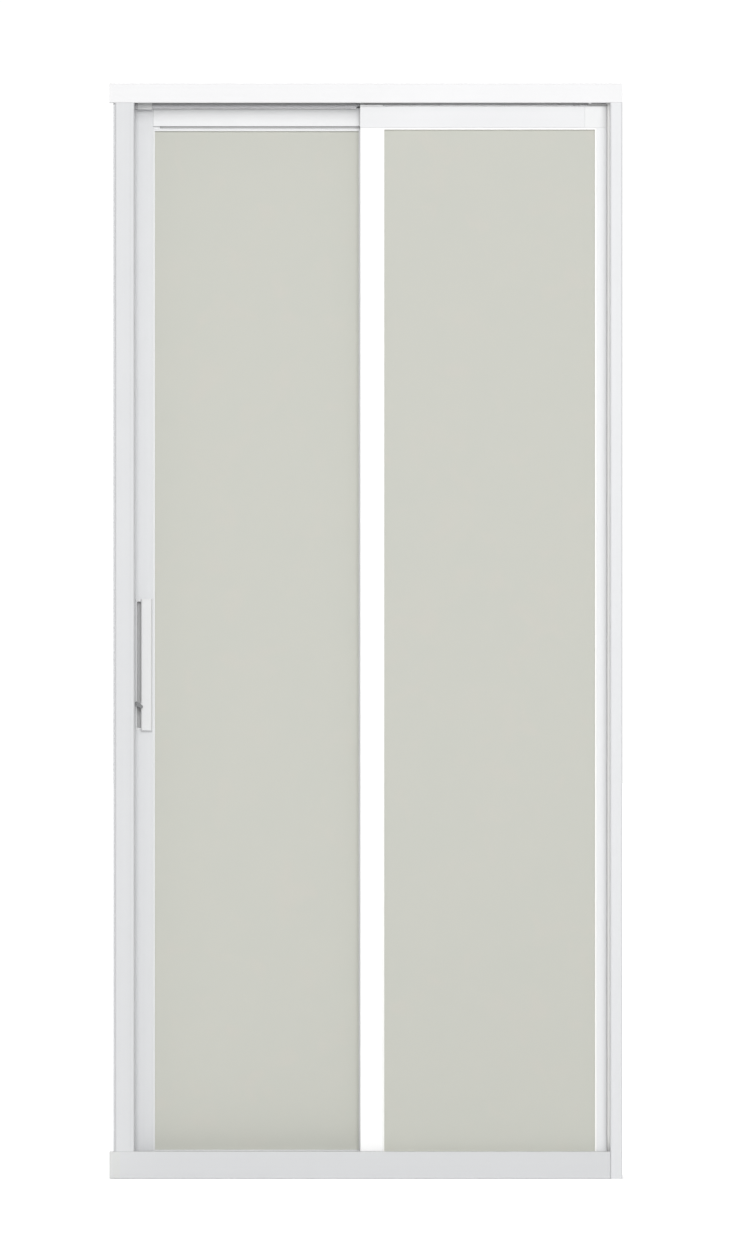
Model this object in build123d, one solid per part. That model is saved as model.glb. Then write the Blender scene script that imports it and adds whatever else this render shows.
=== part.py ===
from build123d import *
import os

# A slide and swing door: the left leaf slides behind the right one, then both swing to the rear
# together about a pivot beside the right jamb. Millimetres, X to the right, Y to the rear, Z up.
# The origin is on the underside of the sill, at the middle of its length and depth.

# Outer frame
overall_width = 1000.0
overall_height = 2134.0
frame_depth = 90.0
head_face_height = 37.0
sill_face_height = 53.0
left_face_width = 41.5
right_face_width = 24.0
jamb_setback = 7.5
jamb_step = 3.5
lip_depth = 10.0
lip_edge_radius = 3.5
lip_line_width = 1.6
lip_line_depth = 0.8
head_web = 3.0
head_rib_height = 4.0
head_rib_width = 3.0
sill_floor = 3.0
sill_bevel = 1.5
sill_end_length = 21.0
sill_tongue = 12.0
end_plug_length = 8.0
end_plug_play = 0.1
jamb_box_width = 20.5
stop_width = 14.0
right_web = 2.5
right_rib_height = 2.5
right_rib_width = 4.0
right_rib_places = (-16.0, 28.0)

# Profiles
profile_wall = 2.0
profile_edge_radius = 1.2
fixing_hole_radius = 2.75
fixing_hole_setback = 20.0
right_hole_setback = 6.0
fixing_end_distance = 250.0
fixing_count = 4

# Leaves
leaf_depth = 30.0
face_clearance = 6.0
leaf_gap = 6.0
head_gap = 5.5
edge_clearance = 8.0
heel_clearance = 6.0
meeting_stile_left = -11.0
meeting_stile_width = 44.0
lock_stile_width = 48.0
post_reach = 6.0
post_rear_reach = 13.0
stile_cap_depth = 8.5
stile_cap_height = 3.0
pivot_block_length = 49.0
seam_chamfer = 0.6
spigot_length = 20.0
spigot_play = 0.2
swing_top_rail_height = 42.5
slider_top_rail_height = 42.5
rail_line_height = 4.5
rail_line_depth = 4.5
rail_line_rise = 2.0
bottom_rail_cover = 4.0
slider_floor_clearance = 5.5

# Boards and beads
board_thickness = 5.0
board_setback = 6.0
board_play = 0.2
groove_depth = 10.0
board_grip = 8.0
bead_width = 3.0
bead_depth = 5.0

# Head tracks and hangers
track_wall = 2.0
track_shelf_thickness = 2.5
track_shelf_depth = 18.0
track_web_setback = 4.0
track_shelf_rise = 8.5
track_end_gap = 7.0
track_skirt = 2.5
track_flange_depth = 15.0
track_post_gap = 20.0
clip_left_inset = 12.0
clip_width = 28.0
clip_thickness = 3.0
clip_lap = 8.0
clip_under = 2.0
hanger_width = 50.0
hanger_plate = 3.0
hanger_setback = 5.5
hanger_foot_depth = 16.0
hanger_corner_radius = 6.0
hanger_bend_radius = 1.5
hanger_inset = 60.0
trailing_hanger_inset = 28.0
roller_radius = 10.0
roller_width = 8.0
roller_setback = 6.5
roller_lift = 0.3
axle_radius = 3.0
axle_nut_radius = 5.0
axle_head_length = 1.0
axle_nut_length = 2.5
axle_clearance = 0.05

# Floor guide
guide_leg_thickness = 2.0
guide_clearance = 5.5
guide_fin_thickness = 3.0
guide_fin_height = 19.5
guide_fin_taper = 8.0
guide_front_margin = 2.0
guide_channel_width = 14.0
guide_channel_height = 22.0
shoe_length = 24.0
shoe_height = 18.0
shoe_rise = 2.0
shoe_play = 0.5
shoe_seat_clearance = 0.1
shoe_cap = 4.0
guide_post_gap = 26.0

# Pivots
pin_radius = 5.0
pin_clearance = 0.05
pin_chamfer = 1.0
seat_clearance = 0.02
bush_radius = 8.0
bush_length = 26.0
top_bush_flange = 2.5
bush_flange_radius = 13.0
bottom_bush_flange_radius = 10.0
bush_lift = 0.3
top_boss_radius = 15.0
bottom_boss_radius = 10.0
bracket_radius = 21.0
bracket_chamfer = 12.0
bracket_thickness = 6.0
bottom_bracket_thickness = 2.5
bottom_boss_height = 6.0
boss_bush_gap = 5.5
pin_engagement = 18.0

# Seals, strike and bumpers
seal_base_width = 4.8
seal_base_height = 1.0
seal_play = 0.1
seal_slot_lip = 1.0
seal_slot_wall = 1.2
pile_width = 2.4
pile_height = 3.0
jamb_pile_height = 8.0
strike_thickness = 1.5
strike_width = 22.0
strike_height = 190.0
strike_slot_width = 8.0
strike_slot_height = 60.0
strike_corner_radius = 3.0
latch_width = 18.0
latch_height = 200.0
latch_slot_width = 7.0
latch_slot_height = 44.0
latch_case_depth = 11.0
latch_case_width = 14.0
latch_case_height = 110.0
latch_nose_radius = 14.0
latch_nose_width = 4.0
latch_nose_rise = 1.6
latch_fit = 0.2
bumper_width = 14.0
bumper_length = 5.0
bumper_chamfer = 1.5
bumper_heights = (300.0, 1060.0, 1820.0)

# Pulls and snib
pull_low = 873.0
pull_height = 257.0
pull_left_inset = 14.0
pull_width = 31.5
pull_stand = 11.0
pull_flange_stand = 1.5
pull_edge_radius = 3.0
pull_side_wall = 2.5
finger_slot_width = 7.5
cup_wall = 1.5
cup_depth = 14.5
cup_undercut = 8.5
cup_end = 5.0
cup_lip = 2.0
cup_fit = 0.3
rear_pull_stand = 7.0
rear_slot_depth = 5.0
snib_rise = 50.0
snib_angle = 36.0
snib_length = 18.0
snib_width = 6.5
snib_thickness = 4.0
snib_clearance = 0.5
snib_hub_radius = 4.2
spindle_radius = 2.5
spindle_length = 14.0
spindle_end_room = 1.0
spindle_post_radius = 3.7

# Places worked out from the sizes above
front = -frame_depth / 2
rear = frame_depth / 2
lip_back = front + lip_depth
right_end = overall_width / 2
left_end = -right_end
left_outer = left_end + jamb_setback
box_face = left_outer + jamb_box_width
stop_face = box_face + stop_width
left_lip_edge = left_outer + left_face_width
right_lip_edge = right_end - right_face_width
right_rib_face = right_end - right_web - right_rib_height
head_underside = overall_height - head_web
head_face_bottom = overall_height - head_face_height

swing_front = lip_back + face_clearance
swing_back = swing_front + leaf_depth
slider_front = swing_back + leaf_gap
slider_back = slider_front + leaf_depth
heel_radius = (slider_back - swing_front) / 2
pivot_x = right_rib_face - heel_clearance - heel_radius
pivot_y = (slider_back + swing_front) / 2
post_left = pivot_x - post_reach
post_rear_left = pivot_x - post_rear_reach
block_left = right_lip_edge - pivot_block_length
meeting_stile_right = meeting_stile_left + meeting_stile_width
slider_left = box_face + edge_clearance
slider_right = meeting_stile_right
lock_stile_right = slider_left + lock_stile_width

leaf_top = head_face_bottom - head_gap
guide_leg_bottom = sill_floor + guide_clearance
swing_bottom = guide_leg_bottom + guide_leg_thickness
slider_bottom = swing_bottom + slider_floor_clearance
bottom_rail_top = sill_face_height - bottom_rail_cover
swing_rail_bottom = leaf_top - swing_top_rail_height
slider_rail_bottom = leaf_top - slider_top_rail_height

swing_board_front = swing_front + board_setback
slider_board_front = slider_front + board_setback
track_web_front = swing_back - track_web_setback - track_wall
track_web_back = track_web_front + track_wall
shelf_top = leaf_top + track_shelf_rise
shelf_back = track_web_front + track_shelf_depth
roller_front = track_web_back + roller_setback
roller_height = shelf_top + roller_lift + roller_radius
hanger_front = shelf_back + hanger_setback
leading_hanger_x = slider_left + hanger_inset
trailing_hanger_x = slider_right - trailing_hanger_inset
fin_centre = (slider_front + slider_back) / 2
pull_left = slider_left + pull_left_inset
pull_right = pull_left + pull_width
slot_left = pull_left + pull_side_wall
slot_right = slot_left + finger_slot_width
snib_x = (slot_left + slot_right) / 2
seal_inset = profile_wall + seal_play + seal_base_width / 2
snib_height = pull_low + snib_rise
pull_face = slider_front - pull_stand


def patch(x0, x1, y0, y1):
    """A flat rectangle between two corners."""
    return Pos((x0 + x1) / 2, (y0 + y1) / 2) * Rectangle(x1 - x0, y1 - y0)


def block(x0, x1, y0, y1, z0, z1):
    """A straight-sided solid between two corners."""
    return upright(patch(x0, x1, y0, y1), z0, z1)


def upright(section, bottom, top):
    """A length of profile that stands up: its section lies in X and Y."""
    return extrude(Pos(0, 0, bottom) * section, amount=top - bottom)


def crosswise(section, left, right):
    """A length of profile along X: its section is drawn in Y and Z."""
    across = Plane(origin=(left, 0, 0), x_dir=(0, 1, 0), z_dir=(1, 0, 0))
    return extrude(across * section, amount=right - left)


def facing(outline, near, far):
    """A flat piece that faces the front: its outline is drawn in X and Z."""
    upright_plane = Plane(origin=(0, far, 0), x_dir=(1, 0, 0), z_dir=(0, -1, 0))
    return extrude(upright_plane * outline, amount=far - near)


def rounded_patch(x0, x1, y0, y1, radius):
    """A flat rectangle with four round corners."""
    shape = patch(x0, x1, y0, y1)
    return fillet(shape.vertices(), radius)


def hollow(x0, x1, y0, y1, play=0):
    """The inside of a hollow profile with the usual wall, less the play of what fits in it."""
    inset = profile_wall + play
    return patch(x0 + inset, x1 - inset, y0 + inset, y1 - inset)


def grooved_member(outer, groove):
    """A hollow leaf profile with a groove for the board, walled off from the hollow."""
    x0, x1, y0, y1 = groove
    jacket = patch(x0 - profile_wall, x1 + profile_wall, y0 - profile_wall, y1 + profile_wall)
    chamber = hollow(*outer) - jacket
    return rounded_patch(*outer, profile_edge_radius) - chamber - patch(x0, x1, y0, y1)


def groove_span(board_front):
    """The two sides of a board's groove, in Y."""
    return board_front - board_play, board_front + board_thickness + board_play


def seal_slot(x, y):
    """The two halves of a seal's slot under a rear face at y: the metal round it and its hollow."""
    half = seal_base_width / 2 + seal_play
    mouth = pile_width / 2 + seal_play
    roof = y - seal_slot_lip
    floor_y = roof - seal_base_height - 2 * seal_play
    metal = patch(x - half - seal_slot_wall, x + half + seal_slot_wall, floor_y - seal_slot_wall, y)
    return metal, patch(x - half, x + half, floor_y, roof) + patch(x - mouth, x + mouth, roof, y)


def pile_seal(x, y, pile):
    """The section of a pile seal in its slot: a flat back, and a narrow pile that stands out of it."""
    base_back = y - seal_slot_lip - seal_play
    base_front = base_back - seal_base_height
    section = patch(x - seal_base_width / 2, x + seal_base_width / 2, base_front, base_back)
    return section + patch(x - pile_width / 2, x + pile_width / 2, base_front, y + pile)


# The outer frame

def make_head():
    """The head: a front lip over a flat web, open to the rear so that the leaves can swing out."""
    lip = (front, lip_back, head_face_bottom, overall_height)
    section = rounded_patch(*lip, profile_edge_radius)
    section += patch(lip_back - profile_wall, rear, head_underside, overall_height)
    section -= hollow(*lip)
    rib = patch(rear - head_rib_width, rear, head_underside - head_rib_height, overall_height)
    head = crosswise(section, left_end, right_end)
    return head + crosswise(rib, box_face, right_end - right_web)


def make_sill():
    """The sill: a thin floor with a hollow upstand at the front that hides the bottom rails."""
    lip = (front, lip_back, 0, sill_face_height)
    upstand = rounded_patch(*lip, profile_edge_radius) - hollow(*lip)
    floor_plate = patch(lip_back - profile_wall, rear, 0, sill_floor)
    rear_corner = floor_plate.vertices().sort_by_distance((rear, sill_floor))[0]
    floor_plate = chamfer(rear_corner, sill_bevel)
    sill = crosswise(upstand, left_end + sill_end_length, right_lip_edge)
    return sill + crosswise(floor_plate, left_end, right_end)


def make_sill_end_block():
    """The moulded block that closes the sill's left end, with a tongue inside the upstand."""
    lip = (front, lip_back, 0, sill_face_height)
    outline = rounded_patch(*lip, profile_edge_radius)
    outline -= patch(lip_back - profile_wall, lip_back, 0, sill_floor)
    end = left_end + sill_end_length
    body = crosswise(outline, left_end, end)
    return body + crosswise(hollow(*lip, end_plug_play), end, end + sill_tongue)


def make_lip_end_plugs():
    """The plugs that close the hollow ends of the head's lip."""
    plug = hollow(front, lip_back, head_face_bottom, overall_height, end_plug_play)
    left_plug = crosswise(plug, left_end, left_end + end_plug_length)
    return Compound([left_plug, crosswise(plug, right_end - end_plug_length, right_end)])


def fixing_heights():
    """The heights of the wall fixings in each jamb."""
    step = (overall_height - 2 * fixing_end_distance) / (fixing_count - 1)
    return [fixing_end_distance + step * count for count in range(fixing_count)]


def drilled(jamb, x0, x1, y):
    """A jamb with its wall fixing holes drilled through from side to side."""
    for height in fixing_heights():
        hole = Pos(y, height) * Circle(fixing_hole_radius)
        jamb -= crosswise(hole, x0, x1)
    return jamb


def without_lip(jamb, bottom, top):
    """A jamb with its front lip cut away between two heights, where another lip passes."""
    return jamb - block(left_end, right_end, front, lip_back, bottom, top)


def make_left_jamb():
    """The closing jamb: a hollow box, a hollow stop for the sliding leaf and a wide front lip."""
    box = (left_outer, box_face, lip_back - profile_wall, rear)
    stop = (box_face - profile_wall, stop_face, lip_back - profile_wall, swing_back)
    lip = (left_outer + jamb_step, left_lip_edge, front, lip_back)
    section = patch(*box) + patch(*stop) + rounded_patch(*lip, lip_edge_radius)
    section -= hollow(*box)
    section -= hollow(*stop)
    section -= hollow(*lip)
    metal, slot = seal_slot(stop_face - seal_inset, swing_back)
    section = section + metal - slot
    line = (stop_face - lip_line_width, stop_face, front, front + lip_line_depth)
    section -= patch(*line)
    jamb = without_lip(upright(section, sill_floor, head_underside), 0, sill_face_height)
    jamb = without_lip(jamb, head_face_bottom, overall_height)
    return drilled(jamb, left_end, box_face, fixing_hole_setback)


def make_right_jamb():
    """The hinge jamb: a thin ribbed web, and a narrow front lip that runs down to the ground."""
    lip = (right_lip_edge, right_end, front, lip_back)
    section = rounded_patch(*lip, lip_edge_radius)
    section += patch(right_end - right_web, right_end, lip_back - profile_wall, rear)
    for place in right_rib_places:
        section += patch(right_rib_face, right_end, place, place + right_rib_width)
    section -= hollow(*lip)
    metal, slot = seal_slot(right_lip_edge + seal_inset, lip_back)
    section = section + metal - slot
    jamb = without_lip(upright(section, sill_floor, head_underside), head_face_bottom, overall_height)
    foot = section & patch(right_lip_edge, right_end, front, lip_back - profile_wall)
    jamb += upright(foot, 0, sill_floor)
    return drilled(jamb, right_rib_face, right_end, right_hole_setback)


def make_fixed_track():
    """The track under the head that carries the closed sliding leaf, with a skirt over its top."""
    skirt_bottom = leaf_top - track_skirt
    flange = (track_web_front - track_flange_depth, track_web_back)
    section = patch(track_web_front, track_web_back, skirt_bottom, head_underside)
    section += patch(*flange, head_underside - track_wall, head_underside)
    section += patch(track_web_front, shelf_back, shelf_top - track_shelf_thickness, shelf_top)
    return crosswise(section, stop_face + track_wall, meeting_stile_left - track_end_gap)


def make_track_end_clip():
    """The moulded clip that wraps the lower edge of the fixed track near the closing jamb."""
    skirt_bottom = leaf_top - track_skirt
    left = stop_face + clip_left_inset
    low = skirt_bottom - clip_under
    top = head_underside - track_wall
    section = patch(track_web_front - clip_thickness, track_web_front, low, top)
    section += patch(track_web_front - clip_thickness, track_web_back + clip_under, low, skirt_bottom)
    section += patch(track_web_back, track_web_back + clip_under, low, skirt_bottom + clip_lap)
    return crosswise(section, left, left + clip_width)


def bracket_outline(radius):
    """A pivot bracket seen from above: bevelled about the pivot, square where it meets the jamb."""
    outline = patch(pivot_x - radius, right_rib_face, pivot_y - radius, pivot_y + radius)
    return chamfer(outline.vertices().group_by(Axis.X)[0], bracket_chamfer)


def make_top_pivot_bracket():
    """The plate and boss under the head that hold the top pivot pin."""
    boss_bottom = leaf_top + boss_bush_gap
    plate_bottom = head_underside - bracket_thickness
    bracket = upright(bracket_outline(bracket_radius), plate_bottom, head_underside)
    bracket += upright(Pos(pivot_x, pivot_y) * Circle(top_boss_radius), boss_bottom, plate_bottom)
    bore = Pos(pivot_x, pivot_y) * Circle(pin_radius + seat_clearance)
    return bracket - upright(bore, boss_bottom, plate_bottom)


def make_top_pivot_pin():
    """The pin that the top corner of the swinging leaf turns on."""
    end = head_underside - bracket_thickness
    pin = upright(Pos(pivot_x, pivot_y) * Circle(pin_radius), leaf_top - pin_engagement, end)
    return chamfer(pin.edges().group_by(Axis.Z)[0], pin_chamfer)


def make_bottom_pivot_bracket():
    """The plate and boss on the sill that hold the bottom pivot pin."""
    plate_top = sill_floor + bottom_bracket_thickness
    boss_top = sill_floor + bottom_boss_height
    bracket = upright(bracket_outline(bracket_radius), sill_floor, plate_top)
    bracket += upright(Pos(pivot_x, pivot_y) * Circle(bottom_boss_radius), plate_top, boss_top)
    bore = Pos(pivot_x, pivot_y) * Circle(pin_radius + seat_clearance)
    return bracket - upright(bore, sill_floor, boss_top)


def make_bottom_pivot_pin():
    """The pin that carries the leaves' weight."""
    pin_top = swing_bottom + pin_engagement
    pin = upright(Pos(pivot_x, pivot_y) * Circle(pin_radius), sill_floor, pin_top)
    return chamfer(pin.edges().group_by(Axis.Z)[-1], pin_chamfer)


def make_strike_plate():
    """The strike on the closing jamb, with a slot for the latch."""
    outline = rounded_patch(
        fin_centre - strike_width / 2,
        fin_centre + strike_width / 2,
        snib_height - strike_height / 2,
        snib_height + strike_height / 2,
        strike_corner_radius,
    )
    slot = Pos(fin_centre, snib_height)
    slot *= SlotOverall(strike_slot_height, strike_slot_width, rotation=90)
    return crosswise(outline - slot, box_face, box_face + strike_thickness)


def make_left_jamb_seal():
    """The pile seal on the stop, against the closed sliding leaf."""
    x = stop_face - seal_inset
    return upright(pile_seal(x, swing_back, pile_height), sill_floor, leaf_top)


def make_right_jamb_seal():
    """The pile seal behind the hinge jamb's lip, towards the round heel."""
    x = right_lip_edge + seal_inset
    return upright(pile_seal(x, lip_back, jamb_pile_height), sill_face_height, head_face_bottom)


# The swinging leaf

def post_outline(inset):
    """The hinge post's outline: a round heel about the pivot, stepped where the leaf lies behind."""
    reach = heel_radius - inset
    low = pivot_y - reach
    high = pivot_y + reach
    heel = Pos(pivot_x, pivot_y) * Circle(reach)
    heel &= patch(pivot_x, pivot_x + reach, low, high)
    heel += patch(post_left + inset, pivot_x, low, high)
    return heel + patch(post_rear_left + inset, pivot_x, swing_back + inset, high)


def make_hinge_post():
    """The hollow hinge post, with the board's groove in its front half."""
    near, far = groove_span(swing_board_front)
    jacket = patch(
        post_left - profile_wall,
        post_left + groove_depth + profile_wall,
        near - profile_wall,
        far + profile_wall,
    )
    chamber = post_outline(profile_wall) - jacket
    groove = patch(post_left, post_left + groove_depth, near, far)
    section = post_outline(0) - chamber - groove
    return upright(section, bottom_rail_top, swing_rail_bottom)


def pivot_block(bottom, top, groove_bottom, groove_top):
    """A corner block of the swinging leaf: it joins rail and post and follows the heel's curve."""
    outline = post_outline(0) + patch(block_left, pivot_x, swing_front, swing_back)
    groove = patch(block_left, post_left + groove_depth, *groove_span(swing_board_front))
    body = upright(outline, bottom, top)
    face = body.edges().filter_by_position(Axis.Y, swing_front, swing_front)
    seams = [edge for edge in face if edge.center().X < pivot_x - seam_chamfer]
    body = chamfer(seams, seam_chamfer)
    return body - upright(groove, groove_bottom, groove_top)


def rail_spigot(bottom, top):
    """A corner block's spigot inside the end of its rail."""
    inset = profile_wall + spigot_play
    section = patch(swing_front + inset, swing_back - inset, bottom, top)
    return crosswise(section, block_left - spigot_length, block_left)


def post_spigot(bottom, top):
    """A corner block's spigot inside the end of the hinge post, behind the board's groove."""
    inset = profile_wall + spigot_play
    groove_back = groove_span(swing_board_front)[1]
    room = patch(post_rear_left, pivot_x, groove_back + inset, slider_back)
    return upright(post_outline(inset) & room, bottom, top)


def make_top_pivot_block():
    """The top corner block, bored for the top bush."""
    seat = Pos(pivot_x, pivot_y) * Circle(bush_radius + seat_clearance)
    groove_top = swing_rail_bottom + groove_depth
    inset = profile_wall + spigot_play
    body = pivot_block(swing_rail_bottom, leaf_top, swing_rail_bottom, groove_top)
    body += rail_spigot(groove_top + inset, leaf_top - inset)
    body += post_spigot(swing_rail_bottom - spigot_length, swing_rail_bottom)
    return body - upright(seat, leaf_top - bush_length, leaf_top)


def make_bottom_pivot_block():
    """The bottom corner block, bored for the bottom bush."""
    seat = Pos(pivot_x, pivot_y) * Circle(bush_radius + seat_clearance)
    groove_bottom = bottom_rail_top - groove_depth
    inset = profile_wall + spigot_play
    body = pivot_block(swing_bottom, bottom_rail_top, groove_bottom, bottom_rail_top)
    body += rail_spigot(swing_bottom + inset, groove_bottom - inset)
    body += post_spigot(bottom_rail_top, bottom_rail_top + spigot_length)
    return body - upright(seat, swing_bottom, swing_bottom + bush_length)


def bush(mouth, flange_radius, flange_thickness, inward):
    """A flanged pivot bush: inward is -1 where it hangs in the block, 1 where it stands in it."""
    bore = pin_radius + pin_clearance
    end = mouth + inward * bush_length
    outside = mouth - inward * flange_thickness
    profile = Polyline(
        (bore, outside),
        (flange_radius, outside),
        (flange_radius, mouth),
        (bush_radius, mouth),
        (bush_radius, end),
        (bore, end),
        close=True,
    )
    turned = revolve(Plane.XZ * make_face(profile), Axis.Z, 360)
    return Pos(pivot_x, pivot_y) * turned


def make_top_bush():
    """The bush that turns on the top pin."""
    return bush(leaf_top, bush_flange_radius, top_bush_flange, -1)


def make_bottom_bush():
    """The bush that rests and turns on the bottom boss."""
    flange = swing_bottom - sill_floor - bottom_boss_height - bush_lift
    return bush(swing_bottom, bottom_bush_flange_radius, flange, 1)


def make_meeting_stile():
    """The stile at the middle of the door, in front of the sliding leaf."""
    near, far = groove_span(swing_board_front)
    outer = (meeting_stile_left, meeting_stile_right, swing_front, swing_back)
    groove = (meeting_stile_right - groove_depth, meeting_stile_right, near, far)
    metal, slot = seal_slot(meeting_stile_left + seal_inset, swing_back)
    section = grooved_member(outer, groove) + metal - slot
    return upright(section, bottom_rail_top, swing_rail_bottom)


def make_stile_cap():
    """The moulded cap on the top rail's end, over the meeting stile."""
    back = swing_front + stile_cap_depth
    cap = block(
        meeting_stile_left, meeting_stile_right, swing_front, back, leaf_top, leaf_top + stile_cap_height
    )
    upper = cap.edges().group_by(Axis.Z)[-1]
    return chamfer(upper, seam_chamfer)


def make_swing_top_rail():
    """The swinging leaf's top rail, which runs over the meeting stile."""
    near, far = groove_span(swing_board_front)
    outer = (swing_front, swing_back, swing_rail_bottom, leaf_top)
    groove = (near, far, swing_rail_bottom, swing_rail_bottom + groove_depth)
    return crosswise(grooved_member(outer, groove), meeting_stile_left, block_left)


def make_swing_bottom_rail():
    """The swinging leaf's bottom rail, behind the sill's upstand."""
    near, far = groove_span(swing_board_front)
    outer = (swing_front, swing_back, swing_bottom, bottom_rail_top)
    groove = (near, far, bottom_rail_top - groove_depth, bottom_rail_top)
    return crosswise(grooved_member(outer, groove), meeting_stile_left, block_left)


def board(left, right, bottom, top, board_front):
    """An infill board that reaches into the grooves round its opening."""
    outline = patch(left - board_grip, right + board_grip, bottom - board_grip, top + board_grip)
    return facing(outline, board_front, board_front + board_thickness)


def bead(left, right, bottom, top, board_front):
    """The slim bead round an opening, in front of its board."""
    ring = patch(left, right, bottom, top)
    ring -= patch(left + bead_width, right - bead_width, bottom + bead_width, top - bead_width)
    return facing(ring, board_front - bead_depth, board_front)


def swing_opening():
    """The swinging leaf's opening: left, right, bottom, top."""
    return meeting_stile_right, post_left, bottom_rail_top, swing_rail_bottom


def make_swing_panel():
    """The swinging leaf's infill board."""
    return board(*swing_opening(), swing_board_front)


def make_swing_bead():
    """The bead round the swinging leaf's board."""
    return bead(*swing_opening(), swing_board_front)


def make_swing_track():
    """The track on the swinging leaf that the sliding leaf's hangers run onto."""
    flange = (track_web_front - track_flange_depth, track_web_back)
    section = patch(track_web_front, track_web_back, leaf_top, shelf_top)
    section += patch(*flange, leaf_top, leaf_top + track_wall)
    section += patch(track_web_front, shelf_back, shelf_top - track_shelf_thickness, shelf_top)
    return crosswise(section, meeting_stile_left, pivot_x - track_post_gap)


def make_guide_rail():
    """The floor guide under the swinging leaf, with a fin inside the sliding leaf's channel."""
    fin_front = fin_centre - guide_fin_thickness / 2
    fin_back = fin_centre + guide_fin_thickness / 2
    fin_top = swing_bottom + guide_fin_height
    section = patch(swing_front + guide_front_margin, fin_back, guide_leg_bottom, swing_bottom)
    section += patch(fin_front, fin_back, guide_leg_bottom, fin_top)
    rail = crosswise(section, meeting_stile_left, pivot_x - guide_post_gap)
    corner = Polyline(
        (meeting_stile_left, fin_top),
        (meeting_stile_left + guide_fin_taper, fin_top),
        (meeting_stile_left, fin_top - guide_fin_taper),
        close=True,
    )
    return rail - facing(make_face(corner), fin_front, fin_back)


def make_meeting_seal():
    """The pile seal behind the meeting stile, against the sliding leaf's face."""
    x = meeting_stile_left + seal_inset
    return upright(pile_seal(x, swing_back, pile_height), bottom_rail_top, swing_rail_bottom)


def make_stop_bumpers():
    """The rubber bumpers on the post that stop the open sliding leaf."""
    bumpers = []
    for height in bumper_heights:
        pad = Pos(fin_centre, height) * Rectangle(bumper_width, bumper_width)
        bumper = crosswise(pad, post_rear_left - bumper_length, post_rear_left)
        struck = bumper.edges().group_by(Axis.X)[0]
        bumpers.append(chamfer(struck, bumper_chamfer))
    return Compound(bumpers)


# The sliding leaf

def pull_cup_outline(margin):
    """The part of the pull that is let into the lock stile, seen from above."""
    right = slot_right + cup_undercut + cup_wall
    return patch(slot_left - cup_wall - margin, right + margin, slider_front, slider_front + cup_depth)


def make_lock_stile():
    """The sliding leaf's closing stile, cut out for the finger pull."""
    near, far = groove_span(slider_board_front)
    outer = (slider_left, lock_stile_right, slider_front, slider_back)
    groove = (lock_stile_right - groove_depth, lock_stile_right, near, far)
    stile = upright(grooved_member(outer, groove), slider_bottom, leaf_top)
    pocket = pull_cup_outline(cup_fit)
    low = pull_low + cup_lip - cup_fit
    stile -= upright(pocket, low, pull_low + pull_height - cup_lip + cup_fit)
    return stile - crosswise(latch_outline(latch_fit), slider_left, slider_left + profile_wall)


def latch_outline(margin):
    """The outline of the latch's faceplate, let into the lock stile's closing edge."""
    half_width = latch_width / 2 + margin
    half_height = latch_height / 2 + margin
    return patch(
        fin_centre - half_width,
        fin_centre + half_width,
        snib_height - half_height,
        snib_height + half_height,
    )


def make_latch():
    """The latch: a faceplate flush with the closing edge, its case, and a nose drawn back in it."""
    slot = Pos(fin_centre, snib_height)
    slot *= SlotOverall(latch_slot_height, latch_slot_width, rotation=90)
    plate_back = slider_left + profile_wall
    latch = crosswise(latch_outline(0) - slot, slider_left, plate_back)
    latch += block(
        plate_back,
        plate_back + latch_case_depth,
        fin_centre - latch_case_width / 2,
        fin_centre + latch_case_width / 2,
        snib_height - latch_case_height / 2,
        snib_height + latch_case_height / 2,
    )
    nose = Pos(plate_back + latch_nose_radius - latch_nose_rise, snib_height)
    nose *= Circle(latch_nose_radius)
    nose &= patch(slider_left, plate_back, snib_height - latch_height, snib_height + latch_height)
    half = latch_nose_width / 2
    return latch + facing(nose, fin_centre - half, fin_centre + half)


def make_trailing_stile():
    """The sliding leaf's other stile, hidden behind the meeting stile."""
    near, far = groove_span(slider_board_front)
    outer = (meeting_stile_left, slider_right, slider_front, slider_back)
    groove = (meeting_stile_left, meeting_stile_left + groove_depth, near, far)
    return upright(grooved_member(outer, groove), bottom_rail_top, slider_rail_bottom)


def make_slider_top_rail():
    """The sliding leaf's top rail, with a shadow line along its face above the bead."""
    near, far = groove_span(slider_board_front)
    outer = (slider_front, slider_back, slider_rail_bottom, leaf_top)
    groove = (near, far, slider_rail_bottom, slider_rail_bottom + groove_depth)
    section = grooved_member(outer, groove)
    line_low = slider_rail_bottom + rail_line_rise
    line_high = line_low + rail_line_height
    section += patch(slider_front, near, slider_rail_bottom, line_high + profile_wall)
    section -= patch(slider_front, slider_front + rail_line_depth, line_low, line_high)
    return crosswise(section, lock_stile_right, slider_right)


def make_slider_bottom_rail():
    """The sliding leaf's bottom rail, with the guide channel in its underside."""
    near, far = groove_span(slider_board_front)
    outer = (slider_front, slider_back, slider_bottom, bottom_rail_top)
    groove = (near, far, bottom_rail_top - groove_depth + profile_wall, bottom_rail_top)
    section = grooved_member(outer, groove)
    channel = (
        fin_centre - guide_channel_width / 2,
        fin_centre + guide_channel_width / 2,
        slider_bottom,
        slider_bottom + guide_channel_height,
    )
    x0, x1, y0, y1 = channel
    section += patch(x0 - profile_wall, x1 + profile_wall, y0, y1 + profile_wall) & patch(*outer)
    section -= patch(near, far, groove[2], groove[3])
    section -= patch(*channel)
    return crosswise(section, lock_stile_right, slider_right)


def slider_opening():
    """The sliding leaf's opening: left, right, bottom, top."""
    return lock_stile_right, meeting_stile_left, bottom_rail_top, slider_rail_bottom


def make_slider_panel():
    """The sliding leaf's infill board."""
    return board(*slider_opening(), slider_board_front)


def make_slider_bead():
    """The bead round the sliding leaf's board."""
    return bead(*slider_opening(), slider_board_front)


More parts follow.
